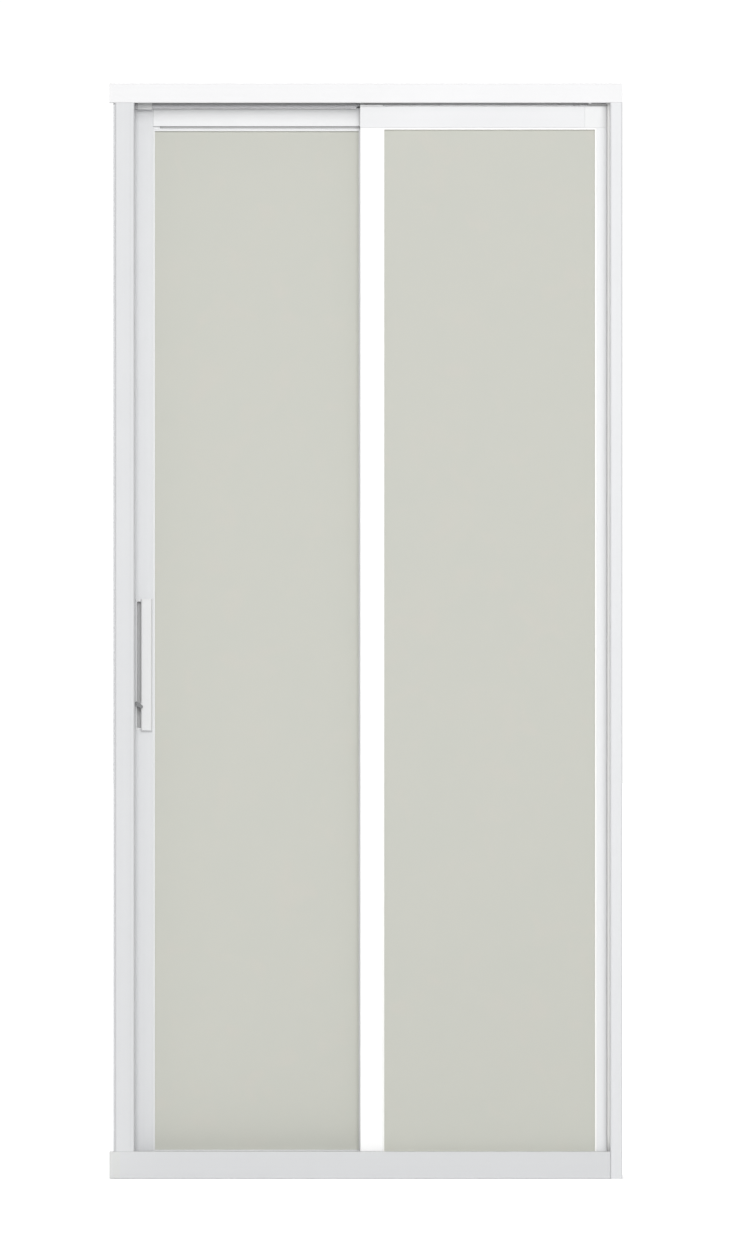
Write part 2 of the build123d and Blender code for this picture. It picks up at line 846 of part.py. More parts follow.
def hanger(x):
    """A hanger: a bent angle on the sliding leaf's top, with the roller's axle bolted through it."""
    plate_back = hanger_front + hanger_plate
    plate_top = roller_height + roller_radius
    foot_top = leaf_top + hanger_plate
    angle = patch(hanger_front, plate_back, leaf_top, plate_top)
    angle += patch(hanger_front, hanger_front + hanger_foot_depth, leaf_top, foot_top)
    inner = angle.vertices().sort_by_distance((plate_back, foot_top))[0]
    angle = fillet(inner, hanger_bend_radius)
    outer = angle.vertices().sort_by_distance((hanger_front, leaf_top))[0]
    angle = fillet(outer, hanger_bend_radius + hanger_plate)
    bracket = crosswise(angle, x - hanger_width / 2, x + hanger_width / 2)
    corners = bracket.edges().filter_by(Axis.Y).group_by(Axis.Z)[-1]
    bracket = fillet(corners, hanger_corner_radius)
    place = Pos(x, roller_height)
    bracket += facing(place * Circle(axle_radius), roller_front, plate_back)
    nut = place * RegularPolygon(axle_nut_radius, 6)
    bracket += facing(nut, roller_front - axle_head_length, roller_front)
    return bracket + facing(nut, plate_back, plate_back + axle_nut_length)


def roller(x):
    """A nylon roller with a flat tread, which turns on its hanger's axle."""
    bore = axle_radius + axle_clearance
    start = roller_front + axle_clearance
    ring = Pos(x, roller_height) * (Circle(roller_radius) - Circle(bore))
    return facing(ring, start, start + roller_width)


def guide_shoe(x):
    """A nylon shoe in the bottom channel, grooved to straddle the guide's fin."""
    half = guide_channel_width / 2 - shoe_seat_clearance
    bottom = slider_bottom + shoe_rise
    top = bottom + shoe_height
    play = guide_fin_thickness / 2 + shoe_play
    section = patch(fin_centre - half, fin_centre + half, bottom, top)
    section -= patch(fin_centre - play, fin_centre + play, bottom, top - shoe_cap)
    return crosswise(section, x - shoe_length / 2, x + shoe_length / 2)


def make_front_pull():
    """The long finger pull: a raised grip to the right of a deep slot, undercut for the fingertips."""
    low = pull_low
    high = pull_low + pull_height
    grip = rounded_patch(
        slot_right, pull_right, pull_face, slider_front + pull_edge_radius, pull_edge_radius
    )
    grip &= patch(slot_right, pull_right, pull_face, slider_front)
    grip += patch(pull_left, slot_right, slider_front - pull_flange_stand, slider_front)
    pull = upright(grip, low, high) + upright(pull_cup_outline(0), low + cup_lip, high - cup_lip)
    floor_y = slider_front + cup_depth - cup_wall
    inside = patch(slot_left, slot_right, pull_face, floor_y)
    inside += patch(slot_left, slot_right + cup_undercut, slider_front, floor_y)
    pull -= upright(inside, low + cup_end, high - cup_end)
    centre = Pos(snib_x, snib_height)
    reach = slot_right + pull_edge_radius - snib_x
    bridge = Pos(snib_x + reach / 2, snib_height) * Rectangle(reach, 2 * spindle_post_radius)
    pull += facing(centre * Circle(spindle_post_radius) + bridge, pull_face, floor_y)
    bore = spindle_radius + pin_clearance
    bore_end = pull_face + spindle_length + spindle_end_room
    return pull - facing(centre * Circle(bore), pull_face, bore_end)


def make_rear_pull():
    """The low pull on the rear face of the lock stile."""
    high = pull_low + pull_height
    back = slider_back + rear_pull_stand
    grip = rounded_patch(
        pull_left, pull_right, slider_back - pull_edge_radius, back, pull_edge_radius
    )
    grip &= patch(pull_left, pull_right, slider_back, back)
    slot = patch(slot_left, slot_right, back - rear_slot_depth, back)
    return upright(grip, pull_low, high) - upright(slot, pull_low + cup_end, high - cup_end)


# The snib

def make_snib():
    """The small turn lever on the pull, with its spindle."""
    back = pull_face - snib_clearance
    near = back - snib_thickness
    place = Pos(snib_x, snib_height)
    lever = place * Rot(0, 0, -snib_angle) * SlotOverall(snib_length, snib_width)
    snib = facing(lever, near, back)
    snib += facing(place * Circle(snib_hub_radius), near, back)
    return snib + facing(place * Circle(spindle_radius), back, pull_face + spindle_length)


PIECES = {
    "head": make_head,
    "sill": make_sill,
    "sill_end_block": make_sill_end_block,
    "lip_end_plugs": make_lip_end_plugs,
    "left_jamb": make_left_jamb,
    "right_jamb": make_right_jamb,
    "fixed_track": make_fixed_track,
    "track_end_clip": make_track_end_clip,
    "top_pivot_bracket": make_top_pivot_bracket,
    "top_pivot_pin": make_top_pivot_pin,
    "bottom_pivot_bracket": make_bottom_pivot_bracket,
    "bottom_pivot_pin": make_bottom_pivot_pin,
    "strike_plate": make_strike_plate,
    "left_jamb_seal": make_left_jamb_seal,
    "right_jamb_seal": make_right_jamb_seal,
    "hinge_post": make_hinge_post,
    "top_pivot_block": make_top_pivot_block,
    "bottom_pivot_block": make_bottom_pivot_block,
    "top_bush": make_top_bush,
    "bottom_bush": make_bottom_bush,
    "meeting_stile": make_meeting_stile,
    "stile_cap": make_stile_cap,
    "swing_top_rail": make_swing_top_rail,
    "swing_bottom_rail": make_swing_bottom_rail,
    "swing_panel": make_swing_panel,
    "swing_bead": make_swing_bead,
    "swing_track": make_swing_track,
    "guide_rail": make_guide_rail,
    "meeting_seal": make_meeting_seal,
    "stop_bumpers": make_stop_bumpers,
    "lock_stile": make_lock_stile,
    "trailing_stile": make_trailing_stile,
    "slider_top_rail": make_slider_top_rail,
    "slider_bottom_rail": make_slider_bottom_rail,
    "slider_panel": make_slider_panel,
    "slider_bead": make_slider_bead,
    "latch": make_latch,
    "front_pull": make_front_pull,
    "rear_pull": make_rear_pull,
    "snib": make_snib,
}

os.makedirs("parts", exist_ok=True)
for name, make in PIECES.items():
    export_step(make(), f"parts/{name}.step")
for end, x in (("leading", leading_hanger_x), ("trailing", trailing_hanger_x)):
    export_step(hanger(x), f"parts/{end}_hanger.step")
    export_step(roller(x), f"parts/{end}_roller.step")
    export_step(guide_shoe(x), f"parts/{end}_guide_shoe.step")
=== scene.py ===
import math
import random

import bmesh
import bpy
from mathutils import Matrix, Vector


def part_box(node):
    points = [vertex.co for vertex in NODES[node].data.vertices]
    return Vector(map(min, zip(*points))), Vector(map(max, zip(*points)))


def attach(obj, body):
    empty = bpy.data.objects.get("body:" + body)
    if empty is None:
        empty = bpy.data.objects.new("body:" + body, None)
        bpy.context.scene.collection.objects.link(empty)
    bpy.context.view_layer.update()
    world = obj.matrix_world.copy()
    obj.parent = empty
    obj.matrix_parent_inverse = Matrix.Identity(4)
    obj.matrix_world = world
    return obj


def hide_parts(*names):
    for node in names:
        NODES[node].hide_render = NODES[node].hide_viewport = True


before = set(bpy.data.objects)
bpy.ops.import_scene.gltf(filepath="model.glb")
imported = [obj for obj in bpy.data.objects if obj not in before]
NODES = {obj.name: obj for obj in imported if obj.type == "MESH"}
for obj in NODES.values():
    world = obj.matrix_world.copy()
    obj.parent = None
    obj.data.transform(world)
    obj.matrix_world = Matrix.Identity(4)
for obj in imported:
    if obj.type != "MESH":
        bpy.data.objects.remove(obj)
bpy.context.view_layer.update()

# The slide and swing door's finishes, screws, pile and thin trim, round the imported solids.
# Metres, X to the right, Y to the rear, Z up. Bodies: frame, swing_leaf, sliding_leaf, snib.

# The view of the photograph: square on to the front, from far away
VIEW_X = 0.0208
VIEW_Z = 1.0772
VIEW_DISTANCE = 12.0
LENS_MM = 176.4
SENSOR_MM = 36.0
VIEW_REACH = 100.0

# The surround: how much light it gives, and how bright it and the floor look to the camera
SURROUND_LIGHT = 0.48
SURROUND_SEEN = 1.05
FLOOR_GLOW = 0.50
FLOOR_REACH = 30.0
FLOOR_DROP = 0.0005

# The soft lights: where each comes from, and its strength
LIGHT_SPREAD = 24.0
LIGHTS = {
    "front_light": ((0.05, -1.0, 0.42), 0.87),
    "low_front_light": ((0.05, -1.0, 0.16), 0.84),
    "rear_light": ((-0.45, 1.0, 0.65), 1.45),
}


# Short ways to build node trees

# A Mix node's colour sockets share their labels with its others, so they go by number
MIX_COLOURS = (6, 7)
MIX_COLOUR_OUT = 2


class ShaderTree:
    """A node tree under construction."""

    def __init__(self, tree):
        self.tree = tree

    def node(self, kind, sockets=None, **settings):
        """A new node with its settings, and plain values for some of its sockets."""
        made = self.tree.nodes.new(kind)
        for key, value in settings.items():
            setattr(made, key, value)
        for label, value in (sockets or {}).items():
            made.inputs[label].default_value = value
        return made

    def link(self, output, socket):
        self.tree.links.new(output, socket)

    def place(self):
        """Where a point of the surface is, in metres."""
        return self.node("ShaderNodeTexCoord").outputs["Object"]

    def axis(self, vector, label):
        """One of a vector's three parts."""
        split = self.node("ShaderNodeSeparateXYZ")
        self.link(vector, split.inputs["Vector"])
        return split.outputs[label]

    def noise(self, place, **values):
        made = self.node("ShaderNodeTexNoise", values)
        self.link(place, made.inputs["Vector"])
        return made

    def math(self, operation, first, second=None):
        made = self.node("ShaderNodeMath", operation=operation)
        self.link(first, made.inputs[0])
        if isinstance(second, float):
            made.inputs[1].default_value = second
        elif second is not None:
            self.link(second, made.inputs[1])
        return made.outputs["Value"]

    def between(self, value, low, high):
        """A value from 0 to 1 stretched between two others."""
        made = self.node("ShaderNodeMapRange", {"To Min": low, "To Max": high})
        self.link(value, made.inputs["Value"])
        return made.outputs["Result"]

    def ramp(self, value, start, end):
        """A mask that rises from 0 where a value is at its start to 1 where it is at its end."""
        made = self.node("ShaderNodeMapRange", {"From Min": start, "From Max": end})
        self.link(value, made.inputs["Value"])
        return made.outputs["Result"]


class Effect(ShaderTree):
    """A shared effect: a node group that takes named values and gives masks or heights."""

    def __init__(self, name, inputs, outputs):
        super().__init__(bpy.data.node_groups.new(name, "ShaderNodeTree"))
        for label, value in inputs.items():
            kind = "NodeSocketVector" if isinstance(value, tuple) else "NodeSocketFloat"
            socket = self.tree.interface.new_socket(label, in_out="INPUT", socket_type=kind)
            socket.default_value = value
        for label in outputs:
            self.tree.interface.new_socket(label, in_out="OUTPUT", socket_type="NodeSocketFloat")
        self.given = self.node("NodeGroupInput").outputs
        self.leave = self.node("NodeGroupOutput").inputs

    def give(self, label, output):
        self.link(output, self.leave[label])


class Finish(ShaderTree):
    """A material under construction: its node tree and its shader."""

    def __init__(self, name):
        self.material = bpy.data.materials.new(name)
        self.material.use_nodes = True
        super().__init__(self.material.node_tree)
        self.shader = self.tree.nodes["Principled BSDF"]

    def feed(self, label, output):
        """Links an output to one of the shader's sockets."""
        self.link(output, self.shader.inputs[label])

    def set(self, **values):
        """Sets plain values of the shader; a low line in a name stands for a space."""
        for key, value in values.items():
            self.shader.inputs[key.replace("_", " ")].default_value = value

    def effect(self, group, **values):
        """Places a shared effect with its own values; its outputs, by name."""
        made = self.node("ShaderNodeGroup", node_tree=group)
        for key, value in values.items():
            made.inputs[key.replace("_", " ")].default_value = value
        return made.outputs

    def blend(self, mask, first, second):
        """A colour between two others, by a mask."""
        mix = self.node("ShaderNodeMix", data_type="RGBA")
        self.link(mask, mix.inputs["Factor"])
        for number, colour in zip(MIX_COLOURS, (first, second)):
            if isinstance(colour, tuple):
                mix.inputs[number].default_value = (*colour, 1.0)
            else:
                self.link(colour, mix.inputs[number])
        return mix.outputs[MIX_COLOUR_OUT]

    def bump(self, height, strength, distance, under=None):
        """A normal that follows a height."""
        made = self.node("ShaderNodeBump", {"Strength": strength, "Distance": distance})
        self.link(height, made.inputs["Height"])
        if under is not None:
            self.link(under, made.inputs["Normal"])
        return made.outputs["Normal"]


# Shared effects

def paint_skin_group():
    """Powder paint: a fine orange peel, and a slow change of gloss over a hand's breadth."""
    effect = Effect("paint_skin", {"Scale": 700.0, "Patch Scale": 9.0}, ["Height", "Gloss"])
    place = effect.place()
    peel = effect.noise(place, Detail=2.0)
    slow = effect.noise(place, Detail=4.0, Roughness=0.65)
    effect.link(effect.given["Scale"], peel.inputs["Scale"])
    effect.link(effect.given["Patch Scale"], slow.inputs["Scale"])
    effect.give("Height", peel.outputs["Fac"])
    effect.give("Gloss", slow.outputs["Fac"])
    return effect.tree


def drawn_lines_group():
    """The faint lines that a die leaves on a drawn profile: fine across it, long along it."""
    effect = Effect("drawn_lines", {"Stretch": (900.0, 900.0, 4.0)}, ["Line", "Streak"])
    scale = effect.node("ShaderNodeVectorMath", operation="MULTIPLY")
    effect.link(effect.place(), scale.inputs[0])
    effect.link(effect.given["Stretch"], scale.inputs[1])
    line = effect.noise(scale.outputs["Vector"], Scale=1.0, Detail=3.0)
    streak = effect.noise(scale.outputs["Vector"], Scale=0.22, Detail=2.0)
    effect.give("Line", line.outputs["Fac"])
    effect.give("Streak", streak.outputs["Fac"])
    return effect.tree


def settled_dust_group():
    """A mask for dust: strongest on faces that look up, broken up by noise."""
    effect = Effect("settled_dust", {"Scale": 60.0, "Amount": 0.5}, ["Dust"])
    face = effect.node("ShaderNodeNewGeometry")
    up = effect.ramp(effect.axis(face.outputs["Normal"], "Z"), start=0.3, end=0.95)
    speck = effect.noise(effect.place(), Detail=5.0)
    effect.link(effect.given["Scale"], speck.inputs["Scale"])
    broken = effect.math("MULTIPLY", up, speck.outputs["Fac"])
    effect.give("Dust", effect.math("MULTIPLY", broken, effect.given["Amount"]))
    return effect.tree


def edge_rub_group():
    """A mask for edges that hands have rubbed: where the face turns away from its soft normal."""
    effect = Effect("edge_rub", {"Reach": 0.0008, "Scale": 220.0}, ["Rub"])
    face = effect.node("ShaderNodeNewGeometry")
    soft = effect.node("ShaderNodeBevel", samples=4)
    effect.link(effect.given["Reach"], soft.inputs["Radius"])
    dot = effect.node("ShaderNodeVectorMath", operation="DOT_PRODUCT")
    effect.link(face.outputs["Normal"], dot.inputs[0])
    effect.link(soft.outputs["Normal"], dot.inputs[1])
    edge = effect.ramp(dot.outputs["Value"], start=0.995, end=0.85)
    broken = effect.noise(effect.place(), Detail=3.0)
    effect.link(effect.given["Scale"], broken.inputs["Scale"])
    effect.give("Rub", effect.math("MULTIPLY", edge, broken.outputs["Fac"]))
    return effect.tree


PAINT_SKIN = paint_skin_group()
DRAWN_LINES = drawn_lines_group()
SETTLED_DUST = settled_dust_group()
EDGE_RUB = edge_rub_group()

# How die lines are stretched on upright and on level profiles
ALONG_Z = (900.0, 900.0, 4.0)
ALONG_X = (4.0, 900.0, 900.0)

# Index of refraction of each clear skin
PAINT_IOR = 1.46
BOARD_IOR = 1.48
PLASTIC_IOR = 1.49

# Heights of surface textures, in metres
PAINT_RELIEF = 0.0001
METAL_RELIEF = 0.0001
PLASTIC_RELIEF = 0.00006
EMBOSS_RELIEF = 0.0002
BOARD_RELIEF = 0.0001
RUBBER_RELIEF = 0.0002
PILE_RELIEF = 0.0002


# Finishes

def shade(colour, factor, lift=0.0):
    """A colour made darker or lighter by a factor, and lifted a little."""
    return tuple(min(1.0, value * factor + lift) for value in colour)


def white_paint(name, colour, along, streak=0.03):
    """Satin white powder paint over a drawn aluminium profile, with a warm trace of dust."""
    finish = Finish(name)
    skin = finish.effect(PAINT_SKIN, Scale=750.0, Patch_Scale=7.0)
    lines = finish.effect(DRAWN_LINES, Stretch=along)
    dust = finish.effect(SETTLED_DUST, Scale=70.0, Amount=0.35)
    painted = finish.blend(lines["Streak"], shade(colour, 1 - streak), colour)
    dusty = (*shade(colour[:2], 0.86), colour[2] * 0.80)
    finish.feed("Base Color", finish.blend(dust["Dust"], painted, dusty))
    finish.feed("Roughness", finish.between(skin["Gloss"], 0.33, 0.47))
    peel = finish.bump(skin["Height"], 0.16, PAINT_RELIEF)
    finish.feed("Normal", finish.bump(lines["Line"], 0.05, PAINT_RELIEF, peel))
    finish.set(IOR=PAINT_IOR)
    return finish.material


def plastic_skin(finish):
    """The fine spark texture and the rubbed edges that all mouldings share."""
    skin = finish.effect(PAINT_SKIN, Scale=2400.0, Patch_Scale=30.0)
    return skin, finish.effect(EDGE_RUB, Reach=0.0006, Scale=260.0)


def moulded_plastic(name, colour, smoothest, roughest, grain=0.12):
    """Injection-moulded plastic with a fine spark texture and lightly rubbed edges."""
    finish = Finish(name)
    skin, rub = plastic_skin(finish)
    dust = finish.effect(SETTLED_DUST, Scale=110.0, Amount=0.3)
    rubbed = finish.blend(rub["Rub"], colour, shade(colour, 1.06, 0.01))
    dusty = shade(colour, 0.85, 0.02)
    finish.feed("Base Color", finish.blend(dust["Dust"], rubbed, dusty))
    finish.feed("Roughness", finish.between(skin["Gloss"], smoothest, roughest))
    finish.feed("Normal", finish.bump(skin["Height"], grain, PLASTIC_RELIEF))
    finish.set(IOR=PLASTIC_IOR)
    return finish.material


def pull_moulding(name, colour, face_at, shade_depth, painted_cup_shade):
    """The pull's satin moulding; its cup is painted darker with depth below the face, as painted
    shade in the hollow.
    """
    finish = Finish(name)
    skin, rub = plastic_skin(finish)
    depth = finish.axis(finish.place(), "Y")
    # Painted shade: the cup's colour darkens with depth below the pull's face
    shade_mask = finish.ramp(depth, start=face_at, end=face_at + shade_depth)
    shaded_cup = finish.blend(shade_mask, colour, shade(colour, painted_cup_shade))
    finish.feed("Base Color", finish.blend(rub["Rub"], shaded_cup, shade(colour, 1.06, 0.01)))
    finish.feed("Roughness", finish.between(skin["Gloss"], 0.30, 0.44))
    finish.feed("Normal", finish.bump(skin["Height"], 0.12, PLASTIC_RELIEF))
    finish.set(IOR=PLASTIC_IOR)
    return finish.material


def infill_board(name, base, cool, pink):
    """Matt beige-grey board with a fine emboss and faint cloudy patches."""
    finish = Finish(name)
    place = finish.place()
    cloud = finish.noise(place, Scale=11.0, Detail=3.0)
    warm = finish.noise(place, Scale=17.0, Detail=2.0, Distortion=0.4)
    emboss = finish.node("ShaderNodeTexVoronoi", {"Scale": 620.0}, feature="SMOOTH_F1")
    finish.link(place, emboss.inputs["Vector"])
    fine = finish.noise(place, Scale=1500.0, Detail=3.0)
    mottled = finish.blend(finish.between(cloud.outputs["Fac"], -0.2, 1.2), cool, base)
    patch = finish.ramp(warm.outputs["Fac"], start=0.56, end=0.72)
    finish.feed("Base Color", finish.blend(patch, mottled, pink))
    finish.feed("Roughness", finish.between(fine.outputs["Fac"], 0.52, 0.68))
    grain = finish.bump(emboss.outputs["Distance"], 0.22, EMBOSS_RELIEF)
    finish.feed("Normal", finish.bump(fine.outputs["Fac"], 0.10, BOARD_RELIEF, grain))
    finish.set(IOR=BOARD_IOR)
    return finish.material


def polish_band(finish, run, metal, gloss):
    """The brighter and smoother band that rollers leave between two depths of a track."""
    low, high = run
    away = finish.math("SUBTRACT", finish.axis(finish.place(), "Y"), (low + high) / 2)
    half_width = (high - low) / 2
    fade = 0.0012
    band = finish.ramp(finish.math("ABSOLUTE", away), start=half_width, end=half_width - fade)
    polished = finish.node("ShaderNodeMix", {"B": 0.20}, data_type="FLOAT")
    finish.link(band, polished.inputs["Factor"])
    finish.link(gloss, polished.inputs["A"])
    return finish.blend(band, metal, (0.74, 0.74, 0.75)), polished.outputs["Result"]


def track_metal(name, colour, run=None):
    """Mill-finish aluminium with die lines and dust; where rollers run, a polished band."""
    finish = Finish(name)
    lines = finish.effect(DRAWN_LINES, Stretch=ALONG_X)
    dust = finish.effect(SETTLED_DUST, Scale=90.0, Amount=0.55)
    metal = finish.blend(lines["Streak"], colour, shade(colour, 1.12))
    gloss = finish.between(lines["Line"], 0.34, 0.50)
    if run is not None:
        metal, gloss = polish_band(finish, run, metal, gloss)
    finish.feed("Base Color", finish.blend(dust["Dust"], metal, (0.30, 0.29, 0.27)))
    finish.feed("Roughness", gloss)
    finish.feed("Metallic", finish.between(dust["Dust"], 0.95, 0.45))
    finish.feed("Normal", finish.bump(lines["Line"], 0.25, METAL_RELIEF))
    return finish.material


def plated_steel(name, colour, smoothest, roughest, grain=0.3):
    """Zinc-plated steel: a fine brushed grain, cloudy plating and bright rubbed edges."""
    finish = Finish(name)
    skin = finish.effect(PAINT_SKIN, Scale=900.0, Patch_Scale=120.0)
    lines = finish.effect(DRAWN_LINES, Stretch=(1600.0, 1600.0, 90.0))
    rub = finish.effect(EDGE_RUB, Reach=0.0005, Scale=300.0)
    plated = finish.blend(skin["Gloss"], shade(colour, 0.82), colour)
    finish.feed("Base Color", finish.blend(rub["Rub"], plated, shade(colour, 1.35)))
    finish.feed("Roughness", finish.between(skin["Gloss"], smoothest, roughest))
    finish.feed("Normal", finish.bump(lines["Line"], grain, METAL_RELIEF))
    finish.set(Metallic=1.0)
    return finish.material


def black_rubber(name):
    """Black rubber with a bloomed, slightly pitted skin."""
    finish = Finish(name)
    skin = finish.effect(PAINT_SKIN, Scale=1300.0, Patch_Scale=90.0)
    dust = finish.effect(SETTLED_DUST, Scale=200.0, Amount=0.8)
    bloom = finish.blend(skin["Gloss"], (0.022, 0.022, 0.023), (0.040, 0.040, 0.041))
    finish.feed("Base Color", finish.blend(dust["Dust"], bloom, (0.12, 0.115, 0.11)))
    finish.feed("Roughness", finish.between(skin["Gloss"], 0.58, 0.80))
    finish.feed("Normal", finish.bump(skin["Height"], 0.3, RUBBER_RELIEF))
    return finish.material


def pile_fibre(name, dark, light):
    """Woven pile or brush: each fibre a little lighter or darker than the next."""
    finish = Finish(name)
    lines = finish.effect(DRAWN_LINES, Stretch=(2500.0, 300.0, 2500.0))
    finish.feed("Base Color", finish.blend(lines["Line"], dark, light))
    finish.feed("Roughness", finish.between(lines["Streak"], 0.75, 0.95))
    finish.feed("Normal", finish.bump(lines["Line"], 0.4, PILE_RELIEF))
    finish.set(Sheen_Weight=0.3)
    return finish.material


# Where the front pull's face lies, and how far below it the painted shade in its cup reaches full
# darkness, along Y
PULL_FACE = 0.008
PULL_SHADE_DEPTH = 0.003

# Where the rollers run on the two tracks, along Y
ROLLER_RUN = (0.0036, 0.0116)

# One white powder paint, given a different brightness on each part: the head and meeting stile
# lighter, the left jamb, sill and stiles darker, and the slider's rails lighter against the
# shadow under the head. These differences are painted light and shade, standing in for how much
# light falls on each part.
PAINT_JAMB = white_paint("white_paint_left_jamb", (0.646, 0.653, 0.665), ALONG_Z)
PAINT_RIGHT_JAMB = white_paint("white_paint_right_jamb", (0.712, 0.720, 0.734), ALONG_Z)
PAINT_POST = white_paint("white_paint_hinge_post", (0.775, 0.782, 0.792), ALONG_Z)
PAINT_STILES = white_paint("white_paint_stiles", (0.682, 0.690, 0.703), ALONG_Z)
PAINT_SILL = white_paint("white_paint_sill", (0.633, 0.640, 0.652), ALONG_X)
PAINT_RAILS = white_paint("white_paint_swing_rails", (0.738, 0.741, 0.752), ALONG_X)
PAINT_SLIDER_RAILS = white_paint("white_paint_slider_rails", (0.785, 0.790, 0.798), ALONG_X)
PAINT_HEAD = white_paint("white_paint_head", (0.787, 0.787, 0.794), ALONG_X)
PAINT_BRIGHT = white_paint("white_paint_meeting_stile", (0.95, 0.95, 0.95), ALONG_Z, 0.01)
MOULDING = moulded_plastic("white_moulding", (0.725, 0.73, 0.735), 0.30, 0.42)
BEAD_MOULDING = moulded_plastic("white_bead", (0.885, 0.88, 0.865), 0.30, 0.42, 0.06)
FRONT_PULL = pull_moulding(
    "front_pull_moulding", (0.69, 0.695, 0.70), PULL_FACE, PULL_SHADE_DEPTH, painted_cup_shade=0.74
)
END_MOULDING = moulded_plastic("sill_end_moulding", (0.625, 0.633, 0.625), 0.34, 0.48)
BOARD = infill_board(
    "infill_board", (0.542, 0.544, 0.492), (0.528, 0.538, 0.488), (0.546, 0.542, 0.491)
)
# The fixed track's metal is a darker copy of the swing track's: painted shade, which darkens the
# gap over the sliding leaf.
FIXED_TRACK = track_metal("fixed_track_metal", (0.35, 0.35, 0.36), ROLLER_RUN)
SWING_TRACK = track_metal("swing_track_metal", (0.50, 0.50, 0.51), ROLLER_RUN)
GUIDE_METAL = track_metal("guide_rail_metal", (0.55, 0.55, 0.56))
STEEL = plated_steel("plated_steel", (0.58, 0.585, 0.60), 0.26, 0.42)
SCREW_STEEL = plated_steel("screw_steel", (0.64, 0.64, 0.65), 0.20, 0.34, 0.2)
NYLON = moulded_plastic("nylon", (0.74, 0.74, 0.70), 0.38, 0.52)
WIPER = moulded_plastic("pale_wiper", (0.72, 0.72, 0.71), 0.50, 0.66, 0.2)
# A mid-grey gasket set in the line under the slider's top rail: its grey is painted shade along
# that line.
SHADOW_LINE_GASKET = moulded_plastic("grey_shadow_line_gasket", (0.42, 0.42, 0.42), 0.55, 0.72, 0.25)
RUBBER = black_rubber("black_rubber")
PILE = pile_fibre("pile_fibre", (0.20, 0.20, 0.21), (0.48, 0.48, 0.49))
BRUSH = pile_fibre("pale_brush_fibre", (0.50, 0.50, 0.50), (0.80, 0.80, 0.80))
SNIB_FINISH = moulded_plastic("grey_snib_moulding", (0.168, 0.173, 0.178), 0.28, 0.40)

NODE_FINISHES = {
    PAINT_HEAD: ["head"],
    PAINT_SILL: ["sill"],
    PAINT_RAILS: ["swing_top_rail", "swing_bottom_rail"],
    PAINT_SLIDER_RAILS: ["slider_top_rail", "slider_bottom_rail"],
    PAINT_JAMB: ["left_jamb"],
    PAINT_RIGHT_JAMB: ["right_jamb"],
    PAINT_POST: ["hinge_post"],
    PAINT_STILES: ["lock_stile", "trailing_stile"],
    PAINT_BRIGHT: ["meeting_stile"],
    MOULDING: [
        "lip_end_plugs",
        "track_end_clip",
        "top_pivot_block",
        "bottom_pivot_block",
        "rear_pull",
        "slider_bead",
        "stile_cap",
    ],
    FRONT_PULL: ["front_pull"],
    BEAD_MOULDING: ["swing_bead"],
    END_MOULDING: ["sill_end_block"],
    BOARD: ["swing_panel", "slider_panel"],
    FIXED_TRACK: ["fixed_track"],
    SWING_TRACK: ["swing_track"],
    GUIDE_METAL: ["guide_rail"],
    STEEL: [
        "top_pivot_bracket",
        "top_pivot_pin",
        "bottom_pivot_bracket",
        "bottom_pivot_pin",
        "strike_plate",
        "leading_hanger",
        "trailing_hanger",
        "latch",
    ],
    NYLON: [
        "top_bush",
        "bottom_bush",
        "leading_roller",
        "trailing_roller",
        "leading_guide_shoe",
        "trailing_guide_shoe",
    ],
    RUBBER: ["stop_bumpers"],
    SNIB_FINISH: ["snib"],
    PILE: ["left_jamb_seal", "right_jamb_seal", "meeting_seal"],
}


def dress_nodes():
    """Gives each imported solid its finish."""
    for finish, names in NODE_FINISHES.items():
        for name in names:
            NODES[name].data.materials.clear()
            NODES[name].data.materials.append(finish)


# Softened edges: a drawn or moulded part has no knife edge

EDGE_SEGMENTS = 2
EDGE_ANGLE = 50.0
PROFILE_EDGE = 0.0004
MOULDED_EDGE = 0.0005
FINE_EDGE = 0.0003
EDGES = {
    PROFILE_EDGE: [
        "head",
        "sill",
        "left_jamb",
        "right_jamb",
        "swing_top_rail",
        "slider_top_rail",
        "swing_bottom_rail",
        "slider_bottom_rail",
        "hinge_post",
        "meeting_stile",
        "lock_stile",
        "trailing_stile",
    ],
    MOULDED_EDGE: [
        "front_pull",
        "rear_pull",
        "sill_end_block",
        "top_pivot_block",
        "bottom_pivot_block",
    ],
    FINE_EDGE: ["fixed_track", "swing_track", "guide_rail", "swing_bead", "slider_bead", "snib"],
}


def soften_edges():
    """Rounds the sharp edges of profiles, mouldings and tracks."""
    for width, names in EDGES.items():
        for name in names:
            soft = NODES[name].modifiers.new("soft_edge", "BEVEL")
            soft.width = width
            soft.segments = EDGE_SEGMENTS
            soft.limit_method = "ANGLE"
            soft.angle_limit = math.radians(EDGE_ANGLE)
            soft.harden_normals = True


# Pieces made in mesh code

def show(name, data):
    """A new object in the scene."""
    made = bpy.data.objects.new(name, data)
    bpy.context.scene.collection.objects.link(made)
    return made


def mesh_data(name, mesh):
    """A finished mesh from the one that it was built in."""
    data = bpy.data.meshes.new(name)
    mesh.to_mesh(data)
    mesh.free()
    return data


def piece(name, mesh, body, finish):
    """A finished piece: its mesh, its material and the body it rides on."""
    made = show(name, mesh_data(name, mesh))
    made.data.materials.append(finish)
    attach(made, body)
    return made


def bridge(mesh, lower, upper, smooth=False):
    """Joins two rings of points by a band of faces."""
    for step in range(len(lower)):
        after = (step + 1) % len(lower)
        face = mesh.faces.new((lower[step], lower[after], upper[after], upper[step]))
        face.smooth = smooth


def face_outwards(mesh):
    bmesh.ops.recalc_face_normals(mesh, faces=mesh.faces)


# Screws: head radius and height in metres, and how far the cross goes in

